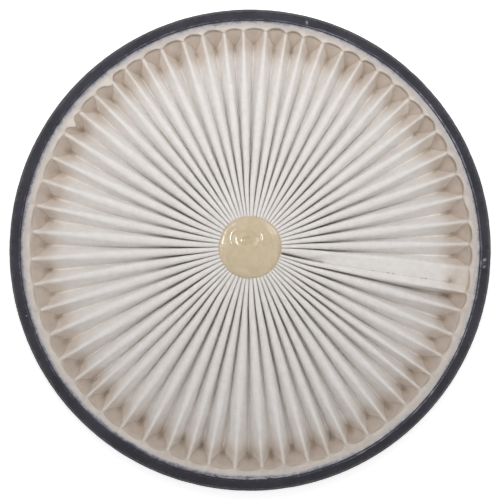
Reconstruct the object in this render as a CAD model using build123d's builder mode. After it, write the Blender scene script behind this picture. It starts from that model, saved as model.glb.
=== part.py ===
from build123d import *
import math
import os

# Round HEPA filter disc: one folded strip of filter paper closed into a star,
# potted in a moulded ring, gathered round a hot-melt plug.
# Millimetres. +Z is out of the front face, the back face lies on z = 0 and the
# axis of the ring is the Z axis.

os.makedirs("parts", exist_ok=True)

# ---------------------------------------------------------------- dimensions
OD = 150.0              # over the seal's lip
RING_H = 12.8           # back face to front face of the ring
RING_R = 74.3           # outside of the ring
RING_WALL_R = 71.2      # inside of the ring's wall
LEDGE_R = 67.8          # inner edge of the back ledge
LEDGE_T = 1.6           # thickness of the back ledge
RING_EDGE = 0.7         # front edge rounding
RING_EDGE_IN = 0.35     # front inner edge rounding
RING_BACK_CHAMFER = 0.4

GROOVE_R = 73.1         # floor of the seal's groove
GROOVE_Z0 = 4.3
GROOVE_Z1 = 9.3
LIP_LAND = 3.2          # height of the seal's cylindrical land

POT_R = 68.6            # inner face of the cast glue, at the ridges
POT_TOP_IN = 11.2       # its front edge there
POT_TOP_OUT = 12.35     # its front edge where it wets the ring's wall
POT_SLOPE = 0.7         # it leans in towards the ledge
SCALLOP_R = 3.1         # arches of its inner edge between the ridges
SCALLOP_DEEP = 0.7

SHEET_T = 0.30          # thickness of the filter paper
GLUE_BED = 0.25         # glue between the ledge and the valleys
PLEAT_Z = LEDGE_T + GLUE_BED
PLEAT_H = 9.0           # underside of the valleys to the top of the ridges
PLEAT_END_R = 70.3      # outer ends of the pleats, about the ring's axis
PLEAT_START_R = 9.1     # inner ends of the pleats, about the plug's axis
FOLD_R_OUT = 0.50       # fold radius on the sheet's middle, at the rim
FOLD_R_MIN = 0.172      # fold radius where the pleats crowd at the plug

HUB_Y = 0.92            # the plug sits this far off the ring's axis
PLUG_R = 10.2
PLUG_TOP = 12.7         # crown of the front dome
PLUG_EDGE = 11.7        # its edge, before rounding
PLUG_ROUND = 0.55
PLUG_BOT = 0.3          # crown of the back dome
PLUG_EDGE_BACK = 1.3
PLUG_ROUND_BACK = 0.3
CRATER_X, CRATER_Y = -0.95, 2.3     # dimple of the front dome, off its centre
CRATER_R = 3.6          # sphere that forms it
CRATER_DEEP = 0.35

LAP_GLUE_T = 0.12       # glue between the two end panels of the strip
LAP_TOP = 0.15          # the under panel starts this far down the leg, of its length
LAP_LOW = 0.88          # the upper panel stops this far down

# directions of the 60 ridges and of the 60 valleys that follow them, in
# degrees about the plug's axis: at the rim, and at the plug
RIDGE_RIM = [
    0.8, 6.8, 13.4, 19.6, 25.6, 31.9, 37.4, 43.0, 48.6, 54.1, 59.2, 64.7,
    70.4, 75.7, 80.4, 85.9, 91.8, 96.9, 102.7, 108.1, 114.1, 119.7, 124.9,
    129.8, 135.6, 141.6, 148.5, 155.6, 162.1, 168.9, 175.9, 183.1, 189.8,
    196.7, 203.6, 210.6, 217.2, 222.5, 228.0, 234.4, 241.2, 247.9, 253.7,
    259.2, 266.1, 273.1, 278.9, 285.2, 290.8, 296.1, 302.2, 308.0, 314.7,
    320.2, 324.7, 330.4, 336.6, 343.2, 347.7, 354.6]
VALLEY_RIM = [
    3.5, 9.9, 16.4, 22.5, 28.7, 34.5, 40.0, 45.8, 51.4, 56.7, 62.0, 67.6,
    73.1, 78.1, 83.1, 88.9, 94.4, 99.9, 105.6, 111.0, 117.1, 122.6, 127.8,
    133.2, 138.5, 145.2, 152.2, 158.6, 165.8, 172.2, 179.4, 186.6, 193.4,
    200.0, 207.2, 214.2, 220.3, 225.4, 231.3, 238.1, 244.6, 250.8, 256.4,
    262.4, 269.6, 275.8, 281.9, 287.8, 293.1, 298.7, 304.8, 310.7, 317.4,
    322.4, 327.4, 333.4, 339.9, 345.6, 349.8, 357.7]
RIDGE_HUB = [
    1.3, 7.4, 13.2, 19.1, 25.0, 30.7, 36.9, 42.8, 48.4, 54.0, 59.5, 64.7,
    70.2, 75.7, 81.5, 87.9, 93.4, 98.5, 103.4, 108.6, 114.0, 119.6, 124.9,
    130.3, 136.6, 143.3, 150.0, 157.0, 163.4, 169.7, 176.4, 183.3, 189.8,
    196.1, 202.4, 209.0, 216.1, 221.8, 227.2, 232.9, 239.5, 246.4, 252.9,
    259.3, 265.1, 271.4, 277.9, 284.8, 290.9, 296.9, 303.2, 308.5, 313.8,
    319.1, 324.2, 329.6, 335.0, 340.3, 345.3, 356.0]
VALLEY_HUB = [
    4.3, 10.2, 16.1, 22.0, 27.8, 33.8, 39.8, 45.6, 51.2, 56.8, 62.1, 67.4,
    72.9, 78.5, 84.7, 90.7, 96.0, 100.9, 106.0, 111.3, 116.8, 122.2, 127.6,
    133.4, 140.0, 146.7, 153.5, 160.2, 166.6, 173.1, 179.9, 186.6, 193.0,
    199.3, 205.7, 212.7, 219.0, 224.5, 230.0, 236.1, 243.0, 249.7, 256.1,
    262.2, 268.2, 274.7, 281.3, 287.9, 293.9, 300.1, 305.9, 311.1, 316.4,
    321.6, 326.9, 332.3, 337.6, 342.8, 348.6, 358.6]
N = len(RIDGE_RIM)
SEAM = N - 1            # the rise of this pleat is the lapped double panel


# ------------------------------------------------------------ pleat geometry
def hub_point(angle, radius):
    """Plan position of a point at a direction and distance from the plug."""
    a = math.radians(angle)
    return Vector(radius * math.cos(a), HUB_Y + radius * math.sin(a), 0)


def reach(angle, ring_radius):
    """Distance from the plug's axis to a circle about the ring's axis."""
    s = HUB_Y * math.sin(math.radians(angle))
    return -s + math.sqrt(s * s + ring_radius ** 2 - HUB_Y ** 2)


def leg_angle(w, h, r_ridge, r_valley, lift=0.0):
    """Slope of the straight leg between a ridge arc and a valley arc."""
    a = math.hypot(w, h - r_ridge - r_valley)
    return math.atan2(h - r_ridge - r_valley, w) + math.asin(
        (r_ridge + r_valley - lift) / a)


def station(i, ring_radius=None):
    """Plane and widths of pleat i at its rim end, or at its plug end."""
    if ring_radius is None:
        v0, r, v1 = VALLEY_HUB[i - 1], RIDGE_HUB[i], VALLEY_HUB[i]
    else:
        v0, r, v1 = VALLEY_RIM[i - 1], RIDGE_RIM[i], VALLEY_RIM[i]
    d = [PLEAT_START_R if ring_radius is None else reach(a, ring_radius)
         for a in (v0, v1)]
    p0, p1 = hub_point(v0, d[0]), hub_point(v1, d[1])
    if v0 > v1:
        v0 -= 360.0
    if r > v1:
        r -= 360.0
    x = p0 - p1                 # seen from outside, +x runs clockwise
    w = x.length
    wl = w * (v1 - r) / (v1 - v0)
    plane = Plane(origin=(p1.X, p1.Y, PLEAT_Z), x_dir=x, z_dir=x.cross(Vector(0, 0, 1)))
    return plane, w, wl


def fold_radius(*half_widths):
    return max(FOLD_R_MIN, min(FOLD_R_OUT, 0.46 * min(half_widths)))


def arc(centre, radius, start, end):
    """A circular arc about a centre, from one direction to another."""
    mid = (start + end) / 2
    pts = [(centre[0] + radius * math.cos(math.radians(a)),
            centre[1] + radius * math.sin(math.radians(a)))
           for a in (start, mid, end)]
    return pts


def pleat_path(w, wl, lift=0.0):
    """Middle line of one pleat: centres, radii and slopes of its arcs.

    x runs from valley to valley, y is height above the glue bed."""
    h = PLEAT_H - SHEET_T
    wr = w - wl
    rr = fold_radius(wl, wr)
    r0, r1 = fold_radius(wl), fold_radius(wr)
    g0 = math.degrees(leg_angle(wl, h, rr, r0))
    g1 = math.degrees(leg_angle(wr, h, rr, r1, lift))
    y0 = SHEET_T / 2
    return {"c0": (0.0, y0 + r0), "r0": r0, "g0": g0,
            "c": (wl, y0 + h - rr), "rr": rr,
            "c1": (w, y0 + r1), "r1": r1, "g1": g1}


def full_section(plane, p, lift):
    """Outline of a whole pleat, valley middle to valley middle."""
    t = SHEET_T / 2
    with BuildSketch(plane) as section:
        with BuildLine():
            # upper side, from the first valley to the second
            a = ThreePointArc(*arc(p["c0"], p["r0"] - t, -90, -90 + p["g0"]))
            b = ThreePointArc(*arc(p["c"], p["rr"] + t, 90 + p["g0"], 90 - p["g1"]))
            c = ThreePointArc(*arc(p["c1"], p["r1"] - t, -90 - p["g1"], -90))
            Line(a @ 1, b @ 0)
            Line(b @ 1, c @ 0)
            # under side, back again
            d = ThreePointArc(*arc(p["c1"], p["r1"] + t, -90, -90 - p["g1"]))
            e = ThreePointArc(*arc(p["c"], p["rr"] - t, 90 - p["g1"], 90 + p["g0"]))
            f = ThreePointArc(*arc(p["c0"], p["r0"] + t, -90 + p["g0"], -90))
            Line(c @ 1, d @ 0)
            Line(d @ 1, e @ 0)
            Line(e @ 1, f @ 0)
            Line(f @ 1, a @ 0)
        make_face()
    return section.sketch


def along(p, s, off):
    """Point on the seam leg: s down from the ridge's tangent point, and off
    from the sheet's middle towards the front."""
    g = math.radians(p["g1"])
    n = (math.sin(g), math.cos(g))
    d = (math.cos(g), -math.sin(g))
    return (p["c"][0] + p["rr"] * n[0] + d[0] * s + n[0] * off,
            p["c"][1] + p["rr"] * n[1] + d[1] * s + n[1] * off)


def leg_length(p):
    """From the ridge's tangent point to the valley's, down the seam leg."""
    g = math.radians(p["g1"])
    dx = p["c1"][0] - p["c"][0]
    dy = p["c1"][1] - p["c"][1]
    return dx * math.cos(g) - dy * math.sin(g)


def seam_upper(plane, p, lift):
    """The last panel of the strip: over the ridge and down on the lap."""
    t = SHEET_T / 2
    low = leg_length(p) * LAP_LOW
    with BuildSketch(plane) as section:
        with BuildLine():
            a = ThreePointArc(*arc(p["c0"], p["r0"] - t, -90, -90 + p["g0"]))
            b = ThreePointArc(*arc(p["c"], p["rr"] + t, 90 + p["g0"], 90 - p["g1"]))
            e = ThreePointArc(*arc(p["c"], p["rr"] - t, 90 - p["g1"], 90 + p["g0"]))
            f = ThreePointArc(*arc(p["c0"], p["r0"] + t, -90 + p["g0"], -90))
            Line(a @ 1, b @ 0)
            Line(b @ 1, along(p, low, t))
            Line(along(p, low, t), along(p, low, -t))
            Line(along(p, low, -t), e @ 0)
            Line(e @ 1, f @ 0)
            Line(f @ 1, a @ 0)
        make_face()
    return section.sketch


def seam_under(plane, p, lift):
    """The first panel of the strip: up from the valley, under the lap."""
    t = SHEET_T / 2
    top = leg_length(p) * LAP_TOP
    with BuildSketch(plane) as section:
        with BuildLine():
            c = ThreePointArc(*arc(p["c1"], p["r1"] - t, -90 - p["g1"], -90))
            d = ThreePointArc(*arc(p["c1"], p["r1"] + t, -90, -90 - p["g1"]))
            Line(c @ 1, d @ 0)
            Line(d @ 1, along(p, top, -lift - t))
            Line(along(p, top, -lift - t), along(p, top, -lift + t))
            Line(along(p, top, -lift + t), c @ 0)
        make_face()
    return section.sketch


def seam_line(plane, p, lift):
    """Glue between the two panels."""
    t = SHEET_T / 2
    s0 = leg_length(p) * LAP_TOP
    s1 = leg_length(p) * LAP_LOW
    with BuildSketch(plane) as section:
        with BuildLine():
            Polyline(along(p, s0, -t), along(p, s1, -t),
                     along(p, s1, -lift + t), along(p, s0, -lift + t), close=True)
        make_face()
    return section.sketch


LIFT = SHEET_T + LAP_GLUE_T

# ------------------------------------------------------------- pleated media
with BuildPart() as pleated_media:
    pleats = []
    for i in range(N):
        inner, wi, wli = station(i)
        outer, wo, wlo = station(i, PLEAT_END_R)
        lift = LIFT if i == SEAM else 0.0
        p_in, p_out = pleat_path(wi, wli, lift), pleat_path(wo, wlo, lift)
        for outline in ((seam_upper, seam_under) if i == SEAM else (full_section,)):
            pleats.append(loft(
                sections=[outline(inner, p_in, lift), outline(outer, p_out, lift)],
                ruled=True, mode=Mode.PRIVATE))
    add(pleats)
pleated_media.part.label = "pleated_media"

# ---------------------------------------------------------------- seam glue
with BuildPart() as seam_glue:
    inner, wi, wli = station(SEAM)
    outer, wo, wlo = station(SEAM, PLEAT_END_R)
    loft(sections=[seam_line(inner, pleat_path(wi, wli, LIFT), LIFT),
                   seam_line(outer, pleat_path(wo, wlo, LIFT), LIFT)], ruled=True)
seam_glue.part.label = "seam_glue"

# --------------------------------------------------------------- frame ring
with BuildPart() as frame_ring:
    with BuildSketch(Plane.XZ):
        with BuildLine():
            e = RING_EDGE
            c = RING_BACK_CHAMFER
            Polyline((RING_R - e, RING_H), (RING_WALL_R + RING_EDGE_IN, RING_H),
                     (RING_WALL_R, RING_H - RING_EDGE_IN), (RING_WALL_R, LEDGE_T),
                     (LEDGE_R, LEDGE_T), (LEDGE_R, 0), (RING_R - c, 0), (RING_R, c),
                     (RING_R, GROOVE_Z0), (GROOVE_R, GROOVE_Z0),
                     (GROOVE_R, GROOVE_Z1), (RING_R, GROOVE_Z1),
                     (RING_R, RING_H - e))
            RadiusArc((RING_R, RING_H - e), (RING_R - e, RING_H), -e)
        make_face()
    revolve(axis=Axis.Z)
frame_ring.part.label = "frame_ring"

# ----------------------------------------------------------------- rim seal
with BuildPart() as rim_seal:
    with BuildSketch(Plane.XZ) as seal_profile:
        mid = (GROOVE_Z0 + GROOVE_Z1) / 2
        r = OD / 2
        with BuildLine():
            Polyline((GROOVE_R, GROOVE_Z0), (RING_R, GROOVE_Z0),
                     (r, mid - LIP_LAND / 2), (r, mid + LIP_LAND / 2),
                     (RING_R, GROOVE_Z1), (GROOVE_R, GROOVE_Z1), close=True)
        make_face()
    revolve(axis=Axis.Z)
rim_seal.part.label = "rim_seal"

# ------------------------------------------------------------- potting ring
with BuildPart() as potting_ring:
    with BuildSketch(Plane.XZ):
        with BuildLine():
            # wets the ring's wall, thins inwards, leans in towards the ledge
            ThreePointArc((RING_WALL_R, POT_TOP_OUT),
                          ((RING_WALL_R + POT_R) / 2, POT_TOP_IN + 0.28),
                          (POT_R, POT_TOP_IN))
            Polyline((POT_R, POT_TOP_IN), (POT_R - POT_SLOPE, LEDGE_T),
                     (RING_WALL_R, LEDGE_T), (RING_WALL_R, POT_TOP_OUT))
        make_face()
    revolve(axis=Axis.Z)
    # arches between the ridges, which the glue climbs
    spots = []
    for a in VALLEY_RIM:
        p = hub_point(a, reach(a, POT_R + SCALLOP_DEEP - SCALLOP_R))
        spots.append((p.X, p.Y))
    with BuildSketch(Plane.XY.offset(LEDGE_T)):
        with Locations(*spots):
            Circle(SCALLOP_R)
    extrude(amount=RING_H, mode=Mode.SUBTRACT)
    add([pleated_media.part, seam_glue.part], mode=Mode.SUBTRACT)
potting_ring.part.label = "potting_ring"

# ------------------------------------------------------------- centre plug
def cap_middle(top, edge):
    """Middle of a dome's profile, a circle's arc centred on the plug's axis."""
    rise = top - edge
    big = (PLUG_R ** 2 + rise ** 2) / (2 * rise)
    half = math.asin(PLUG_R / abs(big)) / 2
    return (abs(big) * math.sin(half), top - big * (1 - math.cos(half)))


with BuildPart() as centre_plug:
    with BuildSketch(Plane(origin=(0, HUB_Y, 0), x_dir=(1, 0, 0), z_dir=(0, -1, 0))) as half:
        with BuildLine():
            Line((0, PLUG_BOT), (0, PLUG_TOP))
            ThreePointArc((0, PLUG_TOP), cap_middle(PLUG_TOP, PLUG_EDGE), (PLUG_R, PLUG_EDGE))
            Line((PLUG_R, PLUG_EDGE), (PLUG_R, PLUG_EDGE_BACK))
            ThreePointArc((PLUG_R, PLUG_EDGE_BACK), cap_middle(PLUG_BOT, PLUG_EDGE_BACK),
                          (0, PLUG_BOT))
        make_face()
        rim = half.vertices().group_by(Axis.X)[-1].sort_by(Axis.Y)
        fillet(rim[-1], PLUG_ROUND)
        fillet(rim[0], PLUG_ROUND_BACK)
    revolve(axis=Axis((0, HUB_Y, 0), (0, 0, 1)))
    with Locations((CRATER_X, HUB_Y + CRATER_Y, PLUG_TOP - 0.08 - CRATER_DEEP + CRATER_R)):
        Sphere(CRATER_R, mode=Mode.SUBTRACT)
    add([pleated_media.part, seam_glue.part], mode=Mode.SUBTRACT)
centre_plug.part.label = "centre_plug"

# ------------------------------------------------------------------- export
for piece in (frame_ring, rim_seal, potting_ring, pleated_media, centre_plug, seam_glue):
    export_step(piece.part, "parts/%s.step" % piece.part.label)
    print(piece.part.label, round(piece.part.volume, 2), len(piece.part.solids()),
          piece.part.is_valid)
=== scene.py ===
import math

import bpy
import numpy as np
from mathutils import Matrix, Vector


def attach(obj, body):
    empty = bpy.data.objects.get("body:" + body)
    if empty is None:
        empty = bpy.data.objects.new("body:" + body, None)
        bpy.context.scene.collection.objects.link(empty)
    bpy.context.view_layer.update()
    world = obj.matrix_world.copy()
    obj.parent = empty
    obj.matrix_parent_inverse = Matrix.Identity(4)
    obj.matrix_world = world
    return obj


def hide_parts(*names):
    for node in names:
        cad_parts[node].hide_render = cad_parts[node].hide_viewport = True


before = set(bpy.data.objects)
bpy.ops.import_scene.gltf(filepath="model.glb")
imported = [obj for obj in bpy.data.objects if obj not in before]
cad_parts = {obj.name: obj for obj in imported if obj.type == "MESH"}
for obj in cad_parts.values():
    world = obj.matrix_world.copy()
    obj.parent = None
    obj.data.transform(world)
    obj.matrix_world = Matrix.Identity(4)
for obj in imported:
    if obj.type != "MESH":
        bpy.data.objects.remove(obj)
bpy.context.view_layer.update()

# Round pleated filter disc, seen straight from its front. Lengths below are in
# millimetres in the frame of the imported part: the ring's axis is Z, the back
# face is z = 0, and the pleats run out from the plug's axis at y = HUB_Y.
MM = 0.001
HUB_Y = 0.92
SHEET_T = 0.30
RING_TOP = 12.76
PLEAT_LOW = 1.85
PLEAT_TOP = 10.85
N = 60
TAU = 2 * math.pi

# directions of the ridges and of the valleys that follow them, in degrees about
# the plug's axis, at four distances from it
KNOTS = (9.0, 17.1, 26.5, 63.9)
RIDGE = np.array([
    [1.3, 7.4, 13.2, 19.1, 25.0, 30.7, 36.9, 42.8, 48.4, 54.0, 59.5, 64.7, 70.2, 75.7, 81.5,
     87.9, 93.4, 98.5, 103.4, 108.6, 114.0, 119.6, 124.9, 130.3, 136.6, 143.3, 150.0, 157.0,
     163.4, 169.7, 176.4, 183.3, 189.8, 196.1, 202.4, 209.0, 216.1, 221.8, 227.2, 232.9,
     239.5, 246.4, 252.9, 259.3, 265.1, 271.4, 277.9, 284.8, 290.9, 296.9, 303.2, 308.5,
     313.8, 319.1, 324.2, 329.6, 335.0, 340.3, 345.3, 355.6],
    [1.3, 7.4, 13.2, 19.1, 25.0, 30.7, 36.9, 42.8, 48.4, 54.0, 59.5, 64.7, 70.2, 75.7, 81.3,
     87.8, 93.3, 98.3, 102.9, 108.3, 113.8, 119.5, 124.8, 129.8, 136.3, 143.2, 150.0, 157.2,
     163.4, 169.5, 176.4, 183.3, 189.8, 196.1, 202.3, 208.9, 216.3, 222.0, 227.2, 232.7,
     239.3, 246.4, 252.9, 259.5, 264.9, 271.3, 277.9, 285.0, 291.0, 296.9, 303.4, 308.5,
     313.8, 319.1, 323.9, 329.6, 335.0, 340.4, 345.3, 355.6],
    [1.4, 7.5, 13.6, 20.0, 25.6, 31.6, 37.4, 43.1, 48.4, 54.1, 59.3, 64.6, 70.3, 75.5, 80.4,
     86.5, 92.6, 97.4, 102.7, 107.9, 113.7, 119.4, 124.8, 129.7, 136.0, 142.2, 149.1, 156.2,
     162.4, 169.1, 175.8, 182.7, 189.4, 196.3, 202.9, 209.9, 216.7, 222.3, 227.6, 233.6,
     240.5, 247.3, 253.6, 259.5, 265.9, 272.5, 278.6, 285.3, 291.0, 296.5, 303.1, 308.4,
     314.6, 319.7, 324.1, 330.0, 335.8, 341.8, 346.3, 355.2],
    [0.8, 6.8, 13.4, 19.6, 25.6, 31.9, 37.4, 43.0, 48.6, 54.1, 59.2, 64.7, 70.4, 75.7, 80.4,
     85.9, 91.8, 96.9, 102.7, 108.1, 114.1, 119.7, 124.9, 129.8, 135.6, 141.6, 148.5, 155.6,
     162.1, 168.9, 175.9, 183.1, 189.8, 196.7, 203.6, 210.6, 217.2, 222.5, 228.0, 234.4,
     241.2, 247.9, 253.7, 259.2, 266.1, 273.1, 278.9, 285.2, 290.8, 296.1, 302.2, 308.0,
     314.7, 320.2, 324.7, 330.4, 336.6, 343.2, 348.1, 354.6]])
VALLEY = np.array([
    [4.3, 10.2, 16.1, 22.0, 27.8, 33.8, 39.8, 45.6, 51.2, 56.8, 62.1, 67.4, 72.9, 78.5, 84.7,
     90.7, 96.0, 100.9, 106.0, 111.3, 116.8, 122.2, 127.6, 133.4, 140.0, 146.7, 153.5, 160.2,
     166.6, 173.1, 179.9, 186.6, 193.0, 199.3, 205.7, 212.7, 219.0, 224.5, 230.0, 236.1,
     243.0, 249.7, 256.1, 262.2, 268.2, 274.7, 281.3, 287.9, 293.9, 300.1, 305.9, 311.1,
     316.4, 321.6, 326.9, 332.3, 337.6, 342.8, 347.6, 358.5],
    [4.0, 9.9, 15.9, 21.8, 27.7, 33.4, 39.6, 45.5, 50.9, 56.6, 62.1, 67.4, 72.9, 78.3, 84.2,
     90.8, 96.1, 100.5, 105.7, 111.1, 116.8, 122.2, 127.4, 133.4, 140.4, 147.2, 154.1, 160.8,
     166.8, 173.6, 180.4, 187.0, 193.4, 199.6, 205.9, 213.3, 219.6, 224.7, 230.0, 235.9,
     243.1, 249.7, 256.4, 262.2, 268.1, 274.8, 281.5, 288.0, 293.7, 299.8, 306.0, 311.0,
     316.3, 321.6, 326.5, 332.1, 337.5, 342.6, 347.5, 358.2],
    [3.5, 9.8, 16.2, 22.3, 28.0, 33.9, 39.8, 45.6, 50.9, 56.5, 62.1, 67.6, 73.1, 78.1, 83.5,
     89.7, 95.3, 100.3, 105.6, 111.4, 117.1, 122.6, 127.7, 133.8, 139.7, 146.7, 153.5, 160.0,
     166.8, 173.2, 180.3, 187.0, 193.8, 200.3, 206.7, 213.8, 220.0, 225.4, 230.7, 237.1,
     243.7, 250.2, 256.4, 262.3, 268.9, 275.4, 281.7, 287.9, 293.5, 299.2, 305.6, 310.9,
     317.0, 321.8, 326.4, 332.2, 338.2, 344.1, 348.6, 357.3],
    [3.5, 9.9, 16.4, 22.5, 28.7, 34.5, 40.0, 45.8, 51.4, 56.7, 62.0, 67.6, 73.1, 78.1, 83.1,
     88.9, 94.4, 99.9, 105.6, 111.0, 117.1, 122.6, 127.8, 133.2, 138.5, 145.2, 152.2, 158.6,
     165.8, 172.2, 179.4, 186.6, 193.4, 200.0, 207.2, 214.2, 220.3, 225.4, 231.3, 238.1,
     244.6, 250.8, 256.4, 262.4, 269.6, 275.8, 281.9, 287.8, 293.1, 298.7, 304.8, 310.7,
     317.4, 322.4, 327.2, 333.2, 339.6, 346.3, 350.2, 357.5]])
PAPER_THROUGH = 0.06
FRONT_D0, FRONT_D1 = 1.8, 1.0
SEAM = N - 2             # the valley where the two ends of the strip are lapped


# ---------------------------------------------------------------- small tools
def smooth(x, lo, hi):
    t = np.clip((np.asarray(x, float) - lo) / (hi - lo), 0, 1)
    return t * t * (3 - 2 * t)


def pchip(xk, yk, x):
    """Shape-keeping cubic through the knots xk (K) and rows yk (K, M), at x."""
    xk, yk, x = np.asarray(xk, float), np.asarray(yk, float), np.asarray(x, float)
    h = np.diff(xk)[:, None]
    d = np.diff(yk, axis=0) / h
    m = np.zeros_like(yk)
    w1, w2 = 2 * h[1:] + h[:-1], h[1:] + 2 * h[:-1]
    ok = d[:-1] * d[1:] > 0
    with np.errstate(divide="ignore", invalid="ignore"):
        m[1:-1] = np.where(ok, (w1 + w2) / (w1 / d[:-1] + w2 / d[1:]), 0)
    m[0], m[-1] = d[0] * 0.5, d[-1]
    xc = np.clip(x, xk[0], xk[-1])
    i = np.clip(np.searchsorted(xk, xc, side="right") - 1, 0, len(xk) - 2)
    hh = (xk[i + 1] - xk[i])[:, None]
    t = ((xc - xk[i])[:, None]) / hh
    return ((2 * t ** 3 - 3 * t ** 2 + 1) * yk[i] + (t ** 3 - 2 * t ** 2 + t) * hh * m[i]
            + (-2 * t ** 3 + 3 * t ** 2) * yk[i + 1] + (t ** 3 - t ** 2) * hh * m[i + 1])


def wander(seed, n, x, scale, rough=0.5):
    """n smooth random curves of x from 0 to 80 mm, each about -1 to 1: value
    noise, two octaves, the same curve whatever range of x is asked for."""
    rng = np.random.default_rng(seed)
    x = np.asarray(x, float)
    out = np.zeros((n,) + x.shape)
    amp = 1.0
    for octave in range(2):
        s = scale / 2 ** octave
        knots = rng.uniform(-1, 1, (n, int(np.ceil(80 / s)) + 4))
        u = x / s
        i = np.floor(u).astype(int)
        f = u - i
        f = f * f * (3 - 2 * f)
        out += amp * (knots[:, i] * (1 - f) + knots[:, i + 1] * f)
        amp *= rough
    return out / (1 + rough)


def loop_noise(seed, a, counts, amps):
    """Random smooth curve that closes on itself, of the angle a in radians."""
    rng = np.random.default_rng(seed)
    out = np.zeros_like(np.asarray(a, float))
    for c, amp in zip(counts, amps):
        for k in range(c, c + max(1, c // 3) + 1):
            out += amp * rng.uniform(0.4, 1) * np.cos(k * a + rng.uniform(0, TAU)) / math.sqrt(c // 3 + 2)
    return out


def reach(a, ring_r):
    """Distance from the plug's axis to a circle about the ring's axis."""
    s = HUB_Y * np.sin(a)
    return -s + np.sqrt(s * s + ring_r ** 2 - HUB_Y ** 2)


def grid_faces(rows, cols, closed_rows=False, closed_cols=True, flip=False):
    r = np.arange(rows if closed_rows else rows - 1)
    c = np.arange(cols if closed_cols else cols - 1)
    R, C = np.meshgrid(r, c, indexing="ij")
    R1, C1 = (R + 1) % rows, (C + 1) % cols
    q = np.stack([R * cols + C, R1 * cols + C, R1 * cols + C1, R * cols + C1], -1).reshape(-1, 4)
    return q[:, ::-1] if flip else q


def make(name, verts, faces, material, node=None, attrs=None, smooth_it=True):
    """A mesh object of the part, in metres, riding on its only body."""
    me = bpy.data.meshes.new(name)
    verts = np.asarray(verts, float).reshape(-1, 3) * MM
    me.from_pydata([tuple(v) for v in verts], [], [tuple(int(i) for i in f) for f in faces])
    me.update()
    for k, v in (attrs or {}).items():
        at = me.attributes.new(k, "FLOAT", "POINT")
        at.data.foreach_set("value", np.asarray(v, np.float32).reshape(-1))
    me.polygons.foreach_set("use_smooth", [smooth_it] * len(me.polygons))
    ob = bpy.data.objects.new(name, me)
    bpy.context.scene.collection.objects.link(ob)
    ob.data.materials.append(material)
    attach(ob, "root")
    if node:
        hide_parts(node)
    return ob


# ------------------------------------------------------------------ materials
class Mat:
    def __init__(self, name, **sockets):
        self.m = bpy.data.materials.new(name)
        self.m.use_nodes = True
        self.t = self.m.node_tree
        self.b = self.t.nodes["Principled BSDF"]
        for k, v in sockets.items():
            self.b.inputs[k.replace("_", " ")].default_value = v
        self.pos = self.node("ShaderNodeNewGeometry").outputs["Position"]

    def node(self, kind, **props):
        n = self.t.nodes.new(kind)
        for k, v in props.items():
            setattr(n, k, v)
        return n

    def link(self, a, b):
        self.t.links.new(a, b)

    def put(self, socket, value):
        if hasattr(value, "is_output") or isinstance(value, bpy.types.NodeSocket):
            self.link(value, socket)
        else:
            socket.default_value = value

    def noise(self, scale, detail=3.0, rough=0.55, vector=None, distortion=0.0):
        n = self.node("ShaderNodeTexNoise")
        self.link(vector or self.pos, n.inputs["Vector"])
        n.inputs["Scale"].default_value = scale
        n.inputs["Detail"].default_value = detail
        n.inputs["Roughness"].default_value = rough
        n.inputs["Distortion"].default_value = distortion
        return n.outputs["Fac"]

    def cells(self, scale, feature="F1", out="Distance", vector=None, randomness=1.0):
        n = self.node("ShaderNodeTexVoronoi", feature=feature)
        self.link(vector or self.pos, n.inputs["Vector"])
        n.inputs["Scale"].default_value = scale
        n.inputs["Randomness"].default_value = randomness
        return n.outputs[out]

    def stretched(self, sx, sy, sz):
        n = self.node("ShaderNodeMapping")
        self.link(self.pos, n.inputs["Vector"])
        n.inputs["Scale"].default_value = (sx, sy, sz)
        return n.outputs["Vector"]

    def attr(self, name):
        n = self.node("ShaderNodeAttribute")
        n.attribute_name = name
        return n.outputs["Fac"]

    def math(self, op, a, b=0.0, c=0.0, clamp=False):
        n = self.node("ShaderNodeMath", operation=op, use_clamp=clamp)
        for i, v in enumerate((a, b, c)):
            self.put(n.inputs[i], v)
        return n.outputs[0]

    def ramp(self, x, lo, hi, a=0.0, b=1.0, smooth_it=True):
        n = self.node("ShaderNodeMapRange")
        n.interpolation_type = "SMOOTHSTEP" if smooth_it else "LINEAR"
        n.clamp = True
        self.put(n.inputs["Value"], x)
        for k, v in (("From Min", lo), ("From Max", hi), ("To Min", a), ("To Max", b)):
            n.inputs[k].default_value = v
        return n.outputs["Result"]

    def mix(self, fac, a, b, blend="MIX"):
        n = self.node("ShaderNodeMix", data_type="RGBA", blend_type=blend)
        self.put(n.inputs[0], fac)
        for s, v in ((n.inputs[6], a), (n.inputs[7], b)):
            self.put(s, (*v, 1.0) if isinstance(v, tuple) and len(v) == 3 else v)
        return n.outputs[2]

    def bump(self, height, distance, strength=1.0, normal=None):
        n = self.node("ShaderNodeBump")
        n.inputs["Strength"].default_value = strength
        n.inputs["Distance"].default_value = distance
        self.link(height, n.inputs["Height"])
        if normal is not None:
            self.link(normal, n.inputs["Normal"])
        return n.outputs["Normal"]

    def finish(self, color, rough=None, normal=None):
        self.put(self.b.inputs["Base Color"], color)
        if rough is not None:
            self.put(self.b.inputs["Roughness"], rough)
        if normal is not None:
            self.link(normal, self.b.inputs["Normal"])
        return self.m


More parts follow.
